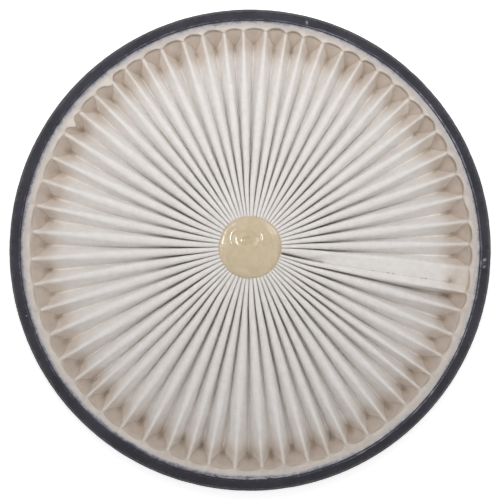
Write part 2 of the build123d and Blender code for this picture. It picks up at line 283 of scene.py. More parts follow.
def paper_material():
    m = Mat("filter_paper_white", Sheen_Weight=0.12, Sheen_Roughness=0.6, Specular_IOR_Level=0.18)
    soak, pit, valley_shade = m.attr("soak"), m.attr("pit"), m.attr("valley_shade")
    cloud = m.noise(420, 4, 0.6)
    mottle = m.noise(1500, 3, 0.6)
    fibre = m.noise(1.0, 4, 0.7, vector=m.stretched(3200, 900, 2000), distortion=0.6)
    fibre2 = m.noise(1.0, 4, 0.7, vector=m.stretched(900, 3200, 2000), distortion=0.6)
    base = m.mix(m.ramp(cloud, 0.35, 0.65), (0.870, 0.836, 0.808), (0.915, 0.887, 0.862))
    base = m.mix(m.ramp(mottle, 0.40, 0.70, 0.0, 0.30), base, (0.78, 0.75, 0.72))
    hair = m.math("MAXIMUM", m.ramp(fibre, 0.60, 0.74), m.ramp(fibre2, 0.62, 0.76))
    base = m.mix(m.math("MULTIPLY", hair, 0.35), base, (0.93, 0.92, 0.90))
    # a few stray grey fibres and specks
    speck = m.ramp(m.cells(260), 0.055, 0.035)
    keep = m.ramp(m.noise(140, 1), 0.60, 0.64)
    base = m.mix(m.math("MULTIPLY", m.math("MULTIPLY", speck, keep), 0.55), base, (0.33, 0.30, 0.28))
    # glue drawn up into the paper beside the potting
    edge = m.math("MULTIPLY", soak, m.ramp(m.noise(520, 3), 0.25, 0.75, 0.80, 1.20))
    wet = m.ramp(edge, 0.0, 1.0, smooth_it=False)
    tan = m.mix(m.ramp(m.noise(300, 3), 0.3, 0.7), (0.695, 0.600, 0.522), (0.755, 0.664, 0.588))
    base = m.mix(m.math("MULTIPLY", wet, 0.92), base, tan)
    # dark spot at each valley's end: partly a stain of the glue, partly painted shade at the bottom of the fold
    stain_and_shade = m.math("MULTIPLY", pit, m.ramp(m.noise(900, 3, 0.6), 0.25, 0.60, 0.45, 0.85))
    base = m.mix(stain_and_shade, base, (0.300, 0.245, 0.165))
    # painted shade in the bottoms of the valleys towards the middle
    base = m.mix(m.math("MULTIPLY", valley_shade, 0.20), base, (0.60, 0.57, 0.54))
    rough = m.ramp(wet, 0.0, 1.0, 0.88, 0.62)
    n = m.bump(m.noise(2600, 3, 0.65), 0.00006, 0.6)
    n = m.bump(m.math("ADD", fibre, fibre2), 0.00005, 0.5, n)
    n = m.bump(m.noise(300, 2), 0.00025, 0.5, n)
    # thin paper: part of the light goes through it
    through = m.node("ShaderNodeBsdfTranslucent")
    m.link(base, through.inputs["Color"])
    blend = m.node("ShaderNodeMixShader")
    blend.inputs[0].default_value = PAPER_THROUGH
    m.link(m.b.outputs[0], blend.inputs[1])
    m.link(through.outputs[0], blend.inputs[2])
    m.link(blend.outputs[0], m.t.nodes["Material Output"].inputs["Surface"])
    return m.finish(base, rough, n)


def potting_material():
    m = Mat("cast_glue_cream", Coat_Weight=0.04, Coat_Roughness=0.35, Specular_IOR_Level=0.28)
    scoop, film, pit = m.attr("scoop"), m.attr("film"), m.attr("pit")
    cloud = m.noise(260, 4, 0.55)
    fine = m.noise(1400, 2)
    cream = m.mix(m.ramp(cloud, 0.32, 0.68), (0.620, 0.548, 0.490), (0.720, 0.648, 0.588))
    cream = m.mix(m.ramp(fine, 0.42, 0.72, 0.0, 0.25), cream, (0.72, 0.67, 0.63))
    tan = m.mix(m.ramp(m.noise(330, 3), 0.3, 0.7), (0.510, 0.423, 0.360), (0.570, 0.484, 0.419))
    base = m.mix(scoop, cream, tan)
    # dark spot at each valley's end (stain and painted shade) and a painted shadow line under the glue's arched
    # edge
    stain_and_shade = m.math("MULTIPLY", pit, m.ramp(m.noise(900, 3, 0.6), 0.25, 0.60, 0.45, 0.85))
    base = m.mix(stain_and_shade, base, (0.300, 0.245, 0.165))
    # thins to a pale lilac film where it wets the ring, then lets the ring show
    wobble = m.math("ADD", film, m.ramp(m.noise(420, 4, 0.6), 0.25, 0.75, -0.10, 0.10))
    wobble = m.math("ADD", wobble, m.ramp(m.noise(1500, 3, 0.65), 0.25, 0.75, -0.07, 0.07))
    base = m.mix(m.ramp(wobble, 0.16, 0.42), base, (0.620, 0.595, 0.585))
    base = m.mix(m.ramp(wobble, 0.44, 0.62), base, (0.370, 0.356, 0.385))
    base = m.mix(m.ramp(wobble, 0.60, 0.77), base, (0.150, 0.146, 0.190))
    base = m.mix(m.ramp(wobble, 0.76, 0.90), base, (0.062, 0.060, 0.086))
    base = m.mix(m.ramp(wobble, 0.90, 1.00), base, (0.034, 0.033, 0.043))
    streak = m.math("MULTIPLY", m.attr("streak"), m.ramp(m.noise(1.0, 3, 0.6, vector=m.stretched(500, 1900, 900)), 0.38, 0.60))
    base = m.mix(m.math("MULTIPLY", streak, 0.85), base, (0.640, 0.640, 0.665))
    rough = m.ramp(m.noise(500, 3), 0.3, 0.7, 0.46, 0.66)
    n = m.bump(m.noise(480, 3, 0.5), 0.00022, 0.5)
    n = m.bump(m.noise(2200, 2), 0.00004, 0.5, n)
    return m.finish(base, rough, n)


def plug_material():
    m = Mat("hot_melt_beige", Subsurface_Weight=0.20, Subsurface_Scale=0.0014, Coat_Weight=1.0,
            Coat_Roughness=0.035, Specular_IOR_Level=0.4)
    m.b.inputs["Subsurface Radius"].default_value = (1.0, 0.72, 0.40)
    cloud = m.noise(190, 4, 0.55, distortion=0.8)
    base = m.mix(m.ramp(cloud, 0.30, 0.70), (0.610, 0.500, 0.330), (0.690, 0.583, 0.410))
    base = m.mix(m.ramp(m.noise(900, 3), 0.45, 0.75, 0.0, 0.30), base, (0.74, 0.64, 0.47))
    dust = m.math("MULTIPLY", m.ramp(m.cells(700), 0.10, 0.05), m.ramp(m.noise(260, 1), 0.58, 0.63))
    base = m.mix(m.math("MULTIPLY", dust, 0.4), base, (0.40, 0.32, 0.20))
    rim = m.attr("rimmed")
    base = m.mix(m.math("MULTIPLY", rim, 0.45), base, (0.66, 0.51, 0.40))
    rough = m.ramp(m.noise(420, 3), 0.3, 0.7, 0.13, 0.24)
    n = m.bump(m.noise(230, 2, 0.4), 0.00022, 0.45)
    n = m.bump(m.noise(1600, 2), 0.00002, 0.4, n)
    return m.finish(base, rough, n)


def ring_material():
    m = Mat("moulded_charcoal", Specular_IOR_Level=0.24)
    cloud = m.noise(70, 4, 0.6)
    grain = m.noise(3800, 2, 0.6)
    base = m.mix(m.ramp(cloud, 0.3, 0.7), (0.024, 0.0238, 0.032), (0.042, 0.041, 0.055))
    base = m.mix(m.ramp(grain, 0.45, 0.75, 0.0, 0.30), base, (0.062, 0.061, 0.075))
    worn = m.math("MULTIPLY", m.attr("edge"), m.ramp(m.noise(900, 4, 0.7), 0.40, 0.70))
    base = m.mix(m.math("MULTIPLY", worn, 0.30), base, (0.16, 0.157, 0.17))
    # flecks of dried glue and pale scuffs
    fleck = m.math("MULTIPLY", m.ramp(m.cells(430), 0.10, 0.06), m.ramp(m.noise(95, 1), 0.66, 0.69))
    base = m.mix(m.math("MULTIPLY", fleck, 0.8), base, (0.50, 0.49, 0.50))
    base = m.mix(m.attr("fleck"), base, (0.62, 0.62, 0.65))
    rough = m.ramp(m.noise(600, 4, 0.6), 0.3, 0.7, 0.42, 0.60)
    n = m.bump(grain, 0.00003, 0.6)
    n = m.bump(m.noise(500, 3), 0.00008, 0.4, n)
    return m.finish(base, rough, n)


def rubber_material():
    m = Mat("lip_rubber", Specular_IOR_Level=0.35, Sheen_Weight=0.08, Sheen_Roughness=0.5)
    base = m.mix(m.ramp(m.noise(120, 4, 0.6), 0.3, 0.7), (0.055, 0.054, 0.060), (0.088, 0.086, 0.094))
    base = m.mix(m.ramp(m.noise(1500, 3), 0.5, 0.8, 0.0, 0.5), base, (0.13, 0.128, 0.135))
    rough = m.ramp(m.noise(700, 3), 0.3, 0.7, 0.58, 0.78)
    n = m.bump(m.noise(2400, 2, 0.6), 0.00005, 0.6)
    n = m.bump(m.noise(350, 3), 0.00012, 0.5, n)
    return m.finish(base, rough, n)


def seam_material():
    m = Mat("seam_glue_line", Specular_IOR_Level=0.5, Coat_Weight=0.3, Coat_Roughness=0.15)
    base = m.mix(m.ramp(m.noise(600, 3), 0.35, 0.65), (0.46, 0.42, 0.38), (0.66, 0.62, 0.57))
    rough = m.ramp(m.noise(900, 2), 0.3, 0.7, 0.25, 0.45)
    return m.finish(base, rough, m.bump(m.noise(1200, 2), 0.00005, 0.5))


def floor_material():
    m = Mat("pale_floor", Specular_IOR_Level=0.1, Emission_Strength=0.62)
    m.b.inputs["Emission Color"].default_value = (1, 1, 1, 1)
    base = m.mix(m.ramp(m.noise(9, 3), 0.3, 0.7), (0.925, 0.925, 0.925), (0.945, 0.945, 0.945))
    return m.finish(base, 0.9)


# --------------------------------------------------------------- pleat surface
rng = np.random.default_rng(86)
LEG_JIT = rng.uniform(-1, 1, (N, 2))             # bulge of the two legs
TOP_JIT = rng.uniform(-1, 1, N)
LOW_JIT = rng.uniform(-1, 1, N)
ARCH_JIT = rng.uniform(-1, 1, (N, 3))

NA, NL, NV = 4, 4, 3        # intervals of the ridge's arc, the leg, the valley's arc
HALF = NA + NL + NV
COLS = 2 * HALF * N


def half_profile(w, h, rr, rv, bulge):
    """Middle line from a ridge (0, h) to a valley (w, 0): x, z and its normal."""
    k = np.arange(HALF + 1)
    a0 = h - rr - rv
    g = np.arctan2(a0, w) + np.arcsin(np.clip((rr + rv) / np.hypot(w, a0), 0, 0.9999))
    g = np.minimum(g, 1.57)
    x = np.zeros(w.shape + (HALF + 1,))
    z = np.zeros_like(x)
    nx = np.zeros_like(x)
    nz = np.zeros_like(x)
    for i in k:
        if i <= NA:
            a = g * (i / NA)
            x[..., i], z[..., i] = rr * np.sin(a), h - rr * (1 - np.cos(a))
        elif i < NA + NL:
            f = (i - NA) / NL
            ax, az = rr * np.sin(g), h - rr * (1 - np.cos(g))
            bx, bz = w - rv * np.sin(g), rv * (1 - np.cos(g))
            a = g
            b = bulge * np.sin(math.pi * f)
            x[..., i] = ax + (bx - ax) * f + b * np.sin(g)
            z[..., i] = az + (bz - az) * f + b * np.cos(g)
        else:
            a = g * (1 - (i - NA - NL) / NV)
            x[..., i], z[..., i] = w - rv * np.sin(a), rv * (1 - np.cos(a))
        nx[..., i], nz[..., i] = np.sin(a), np.cos(a)
    return x, z, nx, nz


def pleat_surface(r, back=False):
    """Middle line of the strip's front or back face at distances r (S) from the plug.

    Below a certain depth the legs of neighbouring pleats lie against each
    other, so from the front the valleys are shallower than from the back.

    Returns angle (radians), height, the normal's two parts, the height as a
    share of the pleat, and the distance from the valley as a share of the
    half pitch, each (S, COLS)."""
    r = np.asarray(r, float)
    S = len(r)
    R = np.radians(pchip(KNOTS, RIDGE, r))
    V = np.radians(pchip(KNOTS, VALLEY, r))
    xr = wander(11, N, r, 13).T * 0.05 * smooth(r, 12, 30)[:, None]
    xv = wander(12, N, r, 11).T * 0.07 * smooth(r, 12, 30)[:, None]
    R = R + xr / r[:, None]
    V = V + xv / r[:, None]
    Vp = np.roll(V, 1, axis=1)
    Vp[:, 0] -= TAU
    wl, wr = (R - Vp) * r[:, None], (V - R) * r[:, None]
    shrink = 0.9 * smooth(r, 8, 72)[:, None]          # the folds open out, so they lose height
    top = PLEAT_TOP - SHEET_T / 2 - 0.35 * shrink + 0.10 * TOP_JIT * smooth(r, 8, 40)[:, None] \
        + 0.07 * wander(13, N, r, 17).T
    low = PLEAT_LOW + SHEET_T / 2 + 0.55 * shrink + 0.25 * (LOW_JIT + 1) * smooth(r, 8, 40)[:, None] \
        + 0.12 * (wander(14, N, r, 15).T + 1)
    if not back:
        half = 0.5 * (wr + np.roll(wl, -1, axis=1))
        seen = (FRONT_D0 + FRONT_D1 * half) * (1 + 0.13 * LOW_JIT + 0.10 * wander(17, N, r, 9).T
                                               + 0.10 * wander(18, N, r, 3.2).T)
        deeper = np.interp(r, [20, 28, 33, 38, 44, 50, 56, 60, 66], [1.38, 1.20, 1.08, 1.07, 1.05, 1.01, 0.98, 1.08, 1.10])
        seen = seen * deeper[:, None] * (1 + 0.40 * np.cos(V) ** 2 * (1 - smooth(r, 22, 36))[:, None]
                                         + 0.14 * np.clip(-np.sin(V), 0, 1))
        seen[:, SEAM - 1] *= 1.35 + 0.5 * smooth(r, 40, 56)
        low = np.maximum(low, top - seen)
    # the lapped panel lies high and nearly flat, and opens into a gap at the plug
    lap = smooth(r, 12.5, 25)
    low[:, SEAM] = low[:, SEAM] * (1 - lap) + (top[:, SEAM] - 1.9 + 1.15 * smooth(r, 18, 36)) * lap
    lowp = np.roll(low, 1, axis=1)
    share = np.interp(r, [9, 12, 17, 26, 38, 50, 58, 64, 72], [0.93, 0.90, 0.84, 0.72, 0.66, 0.46, 0.25, 0.17, 0.15])[:, None]
    arch = np.interp(r, [30, 40, 50, 56, 62, 68], [0.0, 0.13, 0.24, 0.20, 0.08, 0.0])[:, None] * (0 if back else 1)
    gap = 1 - 0.34 * np.exp(-((r - 11) / 4.5) ** 2)
    out = []
    for side, w, lo, lo_j in ((0, wl, lowp, np.roll(LOW_JIT, 1)), (1, wr, low, LOW_JIT)):
        h = top - lo
        share_r = share + 0 * w
        share_r[:, SEAM + 1 if side == 0 else SEAM] *= gap
        rv = np.interp(r, [9, 17, 26, 40, 50, 64, 72], [0.18, 0.19, 0.20, 0.22, 0.28, 0.44, 0.60])[:, None] + 0 * w
        rv = np.minimum(rv, 0.36 * w)
        rv = np.maximum(rv, SHEET_T / 2 + 0.02)
        rr = np.maximum(share_r * w - SHEET_T / 2, 0.16)
        rr = np.minimum(rr, w * 0.99 - rv)
        rr = np.maximum(rr, 0.05)
        rr = np.minimum(rr, h * 0.45)
        rv = np.minimum(rv, h * 0.45)
        bulge = (0.14 * LEG_JIT[:, side] + 0.10 * wander(15 + side, N, r, 12).T) * smooth(r, 14, 40)[:, None] * np.clip(w / 3, 0, 1)
        bulge = bulge + arch * np.clip(w / 3, 0, 1) * np.clip(h / 3, 0, 1)
        x, z, nx, nz = half_profile(w, h, rr, rv, bulge)
        z = z + lo[..., None]
        q = 1 - x / w[..., None]
        ht = (z - lo[..., None]) / h[..., None]
        out.append((x, z, nx, nz, q, ht))
    (xl, zl, nxl, nzl, ql, hl), (xr_, zr, nxr, nzr, qr, hr) = out
    # from the valley before the ridge, over the ridge, to just before its own valley
    ang = np.concatenate([(R[..., None] * r[:, None, None] - xl)[..., :0:-1],
                          (R[..., None] * r[:, None, None] + xr_)[..., :HALF]], -1) / r[:, None, None]
    z = np.concatenate([zl[..., :0:-1], zr[..., :HALF]], -1)
    nx = np.concatenate([-nxl[..., :0:-1], nxr[..., :HALF]], -1)
    nz = np.concatenate([nzl[..., :0:-1], nzr[..., :HALF]], -1)
    ht = np.concatenate([hl[..., :0:-1], hr[..., :HALF]], -1)
    q = np.concatenate([ql[..., :0:-1], qr[..., :HALF]], -1)
    return [v.reshape(S, COLS) for v in (ang, z, nx, nz, ht, q)]


COL_K = np.tile(np.arange(2 * HALF), N)            # place of a column in its pleat
COL_PLEAT = np.repeat(np.arange(N), 2 * HALF)
# valley that a column belongs to: before the ridge it's the one before
COL_VALLEY = np.where(COL_K < HALF, (COL_PLEAT - 1) % N, COL_PLEAT)


def surface_at(radii, back=False):
    """pleat_surface where each column has radii of its own (S, COLS)."""
    lo, hi = radii.min(), radii.max()
    base = np.linspace(lo, hi, 80)
    table = pleat_surface(base, back)
    f = (radii - lo) / (hi - lo) * 79
    i = np.clip(np.floor(f).astype(int), 0, 78)
    f = f - i
    c = np.arange(COLS)[None, :]
    return [t[i, c] * (1 - f) + t[i + 1, c] * f for t in table]


def plan(ang, r):
    return r * np.cos(ang), HUB_Y + r * np.sin(ang)


# dark spot where each valley meets the glue: partly a stain of the glue, partly painted shade where the fold is
# deepest
PIT_R = 63.7 + 0.9 * rng.uniform(-1, 1, N)
PIT_LEN = 1.25 + 0.35 * rng.uniform(-1, 1, N)
PIT_AMP = 0.93 + 0.22 * rng.uniform(-1, 1, N)


def build_media():
    mat = paper_material()
    last = surface_at(np.full((2, COLS), 69.0) + np.array([[0], [0.01]]))[0][0]
    last_b = surface_at(np.full((2, COLS), 69.0) + np.array([[0], [0.01]]), True)[0][0]
    end = reach(last, 70.3)
    f = np.array([0, .012, .03, .055, .085, .12, .16, .20, .245, .29, .335, .38, .425, .47, .515, .56,
                  .605, .65, .695, .735, .77, .80, .83, .855, .88, .90, .92, .94, .96, .98, 1.0])
    radii = 9.1 + (end[None, :] - 9.1) * f[:, None]
    radii_b = 9.1 + (reach(last_b, 70.3)[None, :] - 9.1) * f[:, None]
    ang, z, nx, nz, ht, q = surface_at(radii)
    ring_r = np.hypot(*plan(ang, radii))
    t = SHEET_T / 2
    lap = np.zeros(COLS)
    # the upper panel of the lap, from its cut edge by the seam's valley to the next ridge
    nxt = COL_PLEAT == SEAM + 1
    lap[nxt & (COL_K >= 1) & (COL_K <= HALF - NA)] = 1.0
    lap[nxt & (COL_K == HALF - NA + 1)] = 0.8
    lap[nxt & (COL_K == HALF - NA + 2)] = 0.4
    ragged = 1 + 0.0 * radii
    up = t + lap[None, :] * 0.05 * smooth(radii, 12, 20) * ragged
    # the pleats' ends dip under the glue
    fx, fz = ang + nx * up / radii, z + nz * up - 0.35 * smooth(ring_r, 67.6, 68.8)
    ang_b, z_b, nx_b, nz_b, ht_b, _ = surface_at(radii_b, True)
    ring_b = np.hypot(*plan(ang_b, radii_b))
    bx, bz = ang_b - nx_b * t / radii_b, z_b - nz_b * t - 0.35 * smooth(ring_b, 67.6, 68.8)
    front = np.stack([*plan(fx, radii), fz], -1)
    back = np.stack([*plan(bx, radii_b), bz], -1)
    S = len(f)
    verts = np.concatenate([front.reshape(-1, 3), back.reshape(-1, 3)])
    n = S * COLS
    quads = [grid_faces(S, COLS, flip=False), grid_faces(S, COLS, flip=True) + n]
    c = np.arange(COLS)
    c1 = (c + 1) % COLS
    quads.append(np.stack([c, c1, c1 + n, c + n], -1))                     # inner ends
    o = (S - 1) * COLS
    quads.append(np.stack([o + c, o + c + n, o + c1 + n, o + c1], -1))     # outer ends
    faces = np.concatenate(quads)
    # how far the glue has been drawn in, and the dark spot where it meets each valley, a stain with painted shade
    v = COL_VALLEY
    edge_f = 59.2 + 1.5 * smooth(ht, 0.5, 1.0) + 0.8 * LOW_JIT[v][None, :]
    soak_f = smooth(ring_r, edge_f - 1.8, edge_f + 4.2) * (1 - 0.34 * smooth(ht, 0.90, 1.0))
    soak_f = np.maximum(soak_f, 0.16 * smooth(ring_r, 50, 61))
    soak_b = smooth(ring_b, 65.4 - 1.2 * (1 - ht_b), 68.2)
    d = (ring_r - PIT_R[v][None, :] + 0.3) / PIT_LEN[v][None, :]
    pit_stain_shade = PIT_AMP[v][None, :] * np.exp(-np.clip(d, -9, 9) ** 2) * smooth(1 - ht, 0.70, 0.98)
    # painted shade in the bottoms of the valleys, inside about 62 mm
    valley_shade = smooth(1 - ht, 0.55, 1.0) * (1 - smooth(ring_r, 55, 62)) * 0.6
    zero = np.zeros_like(ring_r)
    attrs = {"soak": np.stack([soak_f, soak_b]), "pit": np.stack([pit_stain_shade, 0.3 * pit_stain_shade]),
             "valley_shade": np.stack([valley_shade, zero])}
    ob = make("pleated_paper", verts, faces, mat, "pleated_media", attrs)
    a = front[1:, :] - front[:-1, :]
    b = np.roll(front, -1, axis=1) - front
    area = np.linalg.norm(np.cross(a[:, :], b[:-1, :]), axis=-1).sum() * MM * MM
    return ob, area, (front, radii)


def glue_drop(d, total, length, power=2.6):
    t = np.clip(d / length, 0, 1)
    return total * (1 - (1 - t) ** power)


def build_potting():
    mat = potting_material()
    a69 = surface_at(np.full((2, COLS), 69.0) + np.array([[0], [0.01]]))
    a69, q69 = a69[0][0], a69[5][0]
    v = COL_VALLEY
    # arches of the glue's inner edge between the ridges, deeper on the upper half
    phi = np.arctan2(HUB_Y + 69 * np.sin(a69), 69 * np.cos(a69))
    north = 0.5 + 0.5 * np.cos(phi - math.radians(62))
    depth = (0.30 + 0.70 * smooth(north, 0.35, 0.95)) * (1 + 0.28 * ARCH_JIT[v, 0])
    skew = 0.22 * ARCH_JIT[v, 1] * np.where(COL_K < HALF, 1, -1)
    qq = np.clip(q69 + skew * q69 * (1 - q69) * 2, 0, 1)
    edge = 68.42 + loop_noise(3, phi, [3, 7, 13], [0.06, 0.05, 0.04]) \
        + 0.92 * depth * (1 - qq ** 2.2) - 0.25 * qq ** 6 + loop_noise(4, phi, [90, 150], [0.035, 0.03])
    # tongues of glue that ran over the edge
    for at, wide, out in ((130.4, 1.5, 1.6), (144.6, 1.1, 2.5), (248.0, 1.3, 0.8), (278.3, 1.6, 0.9),
                          (296.5, 1.6, 0.9), (12.0, 1.2, 0.5), (203.0, 1.4, 0.5)):
        d = (np.degrees(phi) - at + 180) % 360 - 180
        edge -= out * np.exp(-(d / wide) ** 2)
    inner = 61.8
    f1 = np.array([0, .10, .20, .30, .40, .49, .57, .65, .72, .78, .84, .89, .93, .965, .985, 1.0])
    f2 = np.array([.04, .10, .20, .32, .45, .58, .70, .79, .86, .92, .97, .994, 1.0])
    out_r = 72.0 + loop_noise(5, phi, [4, 9, 21, 45], [0.10, 0.10, 0.08, 0.06])
    ring1 = inner + (edge - inner)[None, :] * f1[:, None]
    ring2 = edge[None, :] + (out_r - edge)[None, :] * f2[:, None]
    ring_f = np.concatenate([ring1, ring2])
    fb = np.array([0, .14, .28, .42, .55, .67, .78, .88, .95, 1.0])
    back_edge = 67.86
    ring_b1 = inner + (back_edge - inner) * fb[:, None] + 0 * edge[None, :]
    ring_b2 = np.array([69.5, 71.22])[:, None] + 0 * edge[None, :]
    ring_b = np.concatenate([ring_b1, ring_b2])

    def at(ring, back=False):
        rad = reach(a69[None, :], ring)
        s = surface_at(rad, back)
        rad = reach(s[0], ring)
        s = surface_at(rad, back)
        return rad, s

    rad_f, (ang_f, zm, _, _, ht, q) = at(ring_f)
    d = edge[None, :] - ring_f
    pit = PIT_R[v][None, :]
    length = np.maximum(edge[None, :] - pit, 2.0)
    q_f = np.abs(q)
    z_edge = 11.12 - 0.42 * qq ** 4 + 0.05 * loop_noise(6, phi, [5, 11, 31], [0.4, 0.4, 0.4])
    ramp_d = np.array([0, .5, 1.2, 2.4, 4.0, 5.2, 6.2, 7.5])
    ramp_z = np.array([.0, .22, .62, 1.45, 2.75, 4.05, 5.4, 7.9])
    stretch = 5.7 / length
    scoop = z_edge[None, :] - np.interp(d * (1 + (stretch - 1) * smooth(d, 0.2, 2.0)), ramp_d, ramp_z)
    scoop = scoop - (0.55 + 1.25 * depth[None, :]) * (1 - qq[None, :] ** 3) * smooth(d, 0.0, 0.42) - 0.10
    scoop = scoop + 0.45 * q_f ** 2 * smooth(d, 0, 2.0)
    # its inner end thins out to nothing in the bottom of the fold
    zv = zm[:, np.where(COL_K < HALF, COL_PLEAT, (COL_PLEAT + 1) % N) * 2 * HALF]
    scoop = zv + (scoop - zv) * smooth(ring_f, 62.2, 64.8)
    flat = z_edge[None, :] - 0.12 + 0.12 * smooth(-d, 0, 0.35) + (12.42 - z_edge)[None, :] * smooth(ring_f, 69.2, 71.35) ** 1.3
    film = 12.42 + 0.35 * smooth(ring_f, 71.15, 71.62)
    # the glue climbs the paper in a fillet on both sides of each cell
    k = 0.05 + 1.9 * smooth(d, 0.2, 2.2) * smooth(ring_f, 62.3, 65.2) * smooth(1 - q_f, 0.02, 0.30)
    apart = np.clip(1 - np.abs(scoop - zm - 0.02) / k, 0, 1)
    cell = np.maximum(scoop, zm + 0.02) + 0.25 * k * apart ** 2
    z_f = np.where(d > 0, cell, np.where(ring_f < 71.15, np.minimum(flat, 12.42), film))
    z_f = np.minimum(z_f, 12.79)
    rad_b, (ang_b, zmb, _, _, htb, qb) = at(ring_b, True)
    z_b = 1.62 + glue_drop(np.clip(back_edge - ring_b, 0, None), 8.6, 4.6)
    z_b = np.where(ring_b < back_edge, np.minimum(z_b, zmb - 0.02), 1.6)

    front = np.stack([*plan(ang_f, rad_f), z_f], -1)
    back = np.stack([*plan(ang_b, rad_b), z_b], -1)
    Sf, Sb = len(ring_f), len(ring_b)
    # closed by the hidden wall against the ring: two more rows
    a_end = np.arctan2(front[-1, :, 1], front[-1, :, 0])
    under = np.stack([71.3 * np.cos(a_end), 71.3 * np.sin(a_end), np.full(COLS, 12.3)], -1)
    lip = np.stack([(out_r - 0.1) * np.cos(a_end), (out_r - 0.1) * np.sin(a_end), np.full(COLS, 12.6)], -1)
    rows = np.concatenate([front, lip[None], under[None], back[::-1]])
    S = len(rows)
    faces = grid_faces(S, COLS, closed_rows=True)
    v_scoop = np.concatenate([smooth(edge[None, :] - ring_f, 0.05, 1.0), np.zeros((2, COLS)),
                              np.full((Sb, COLS), 0.7)])
    thin = np.clip((ring_f - 68.9) / 3.1, 0, 1)
    low_side = np.exp(-(((np.degrees(phi) - 250 + 180) % 360 - 180) / 42) ** 2)
    left_side = np.exp(-(((np.degrees(phi) - 178 + 180) % 360 - 180) / 34) ** 2)
    spread = np.interp(np.degrees(phi) % 360, [0, 45, 90, 135, 180, 225, 270, 315, 360],
                       [-0.17, -0.16, -0.07, -0.02, 0.14, -0.01, 0.04, -0.17, -0.17])
    thin = thin + (0.10 * low_side - 0.13 * left_side + spread
                   + loop_noise(7, phi, [3, 8, 17], [0.05, 0.05, 0.04])) * smooth(ring_f, 69.2, 71.0)
    v_film = np.concatenate([np.clip(thin, 0, 1), np.ones((2, COLS)), np.zeros((Sb, COLS))])
    # dark spot where the glue meets each valley, a stain with painted shade, and a painted shadow line under the
    # arched edge, stronger on the upper half where the arches are deeper
    dd = (ring_f - pit - 0.2) / PIT_LEN[v][None, :]
    pit_and_arch_shade = 0.85 * PIT_AMP[v][None, :] * np.exp(-np.clip(dd, -9, 9) ** 2) * smooth(1 - q_f, 0.60, 1.0)
    pit_and_arch_shade = np.clip(pit_and_arch_shade + 0.85 * np.clip(depth, 0.25, 1.2)[None, :] * np.exp(-((d - 0.32) / 0.30) ** 2)
                  * (1 - np.clip(q_f, 0, 1) ** 3), 0, 1)
    v_pit_and_arch_shade = np.concatenate([pit_and_arch_shade, np.zeros((2 + Sb, COLS))])
    south = np.exp(-(((np.degrees(phi) - 270 + 180) % 360 - 180) / 13) ** 2)
    v_str = np.concatenate([south * np.exp(-((ring_f - 70.95) / 0.38) ** 2), np.zeros((2 + Sb, COLS))])
    return make("cast_glue_ring", rows.reshape(-1, 3), faces, mat, "potting_ring",
                {"scoop": v_scoop, "film": v_film, "pit": v_pit_and_arch_shade, "streak": v_str})


def revolve(name, profile, segments, mat, node, attrs=None, shift=None):
    """Closed ring of a closed profile of (r, z), with small unevenness."""
    a = np.linspace(0, TAU, segments, endpoint=False)
    p = np.array(profile, float)
    r = p[:, 0][:, None] + 0 * a
    z = p[:, 1][:, None] + 0 * a
    if shift is not None:
        dr, dz = shift(r, z, a)
        r, z = r + dr, z + dz
    verts = np.stack([r * np.cos(a), r * np.sin(a), z], -1)
    faces = grid_faces(len(p), segments, closed_rows=True)
    at = {k: fn(r, z, a) for k, fn in (attrs or {}).items()}
    return make(name, verts.reshape(-1, 3), faces, mat, node, at)


def arc_points(cx, cz, rad, a0, a1, n):
    t = np.radians(np.linspace(a0, a1, n))
    return [(cx + rad * math.cos(x), cz + rad * math.sin(x)) for x in t]


def build_ring():
    top = RING_TOP
    prof = []
    prof += [(67.8, 0.35)] + arc_points(68.1, 0.3, 0.3, 180, 270, 4)[1:]
    prof += [(70.0, 0), (72.2, 0), (73.6, 0)]
    prof += arc_points(73.9, 0.4, 0.4, 270, 360, 5)
    prof += [(74.3, 2.2), (74.3, 4.1), (74.22, 4.3), (73.1, 4.3), (73.1, 9.3), (74.22, 9.3), (74.3, 9.5),
             (74.3, 10.8)]
    prof += arc_points(73.6, top - 0.7, 0.7, 0, 90, 8)
    prof += [(72.9, top), (72.2, top)]
    prof += arc_points(71.6, top - 0.35, 0.35, 90, 180, 5)
    prof += [(71.2, 9.0), (71.2, 1.6), (69.5, 1.6), (68.0, 1.6), (67.8, 1.45)]
    prof = prof[::-1]

    def shift(r, z, a):
        k = smooth(r, 72.0, 74.0) * smooth(z, 10, 12.6)
        dr = k * loop_noise(21, a, [5, 17, 60, 140], [0.02, 0.02, 0.02, 0.015])
        dz = -np.abs(smooth(z, 11, 12.7) * loop_noise(22, a, [4, 14, 40], [0.012, 0.010, 0.008]))
        # a small nick in the front edge
        d = (np.degrees(a) - 131.2 + 180) % 360 - 180
        dr = dr - 0.30 * k * np.exp(-(d / 0.5) ** 2)
        return dr, dz

    def fleck(r, z, a):
        out = np.zeros_like(r)
        for at, rad, da, drr, amp in ((76.0, 72.7, 0.22, 0.22, 0.8), (357.6, 72.8, 0.25, 0.20, 0.9),
                                      (356.6, 72.5, 0.22, 0.16, 0.7), (355.9, 72.9, 0.20, 0.14, 0.6)):
            d = (np.degrees(a) - at + 180) % 360 - 180
            out += amp * np.exp(-(d / da) ** 2) * np.exp(-((r - rad) / (drr * 1.6)) ** 2) * (z > 12)
        return np.clip(out, 0, 1)

    edge = lambda r, z, a: smooth(r, 73.2, 74.1) * smooth(z, 11.8, 12.4)
    return revolve("charcoal_ring", prof, 1080, ring_material(), "frame_ring",
                   {"edge": edge, "fleck": fleck}, shift)


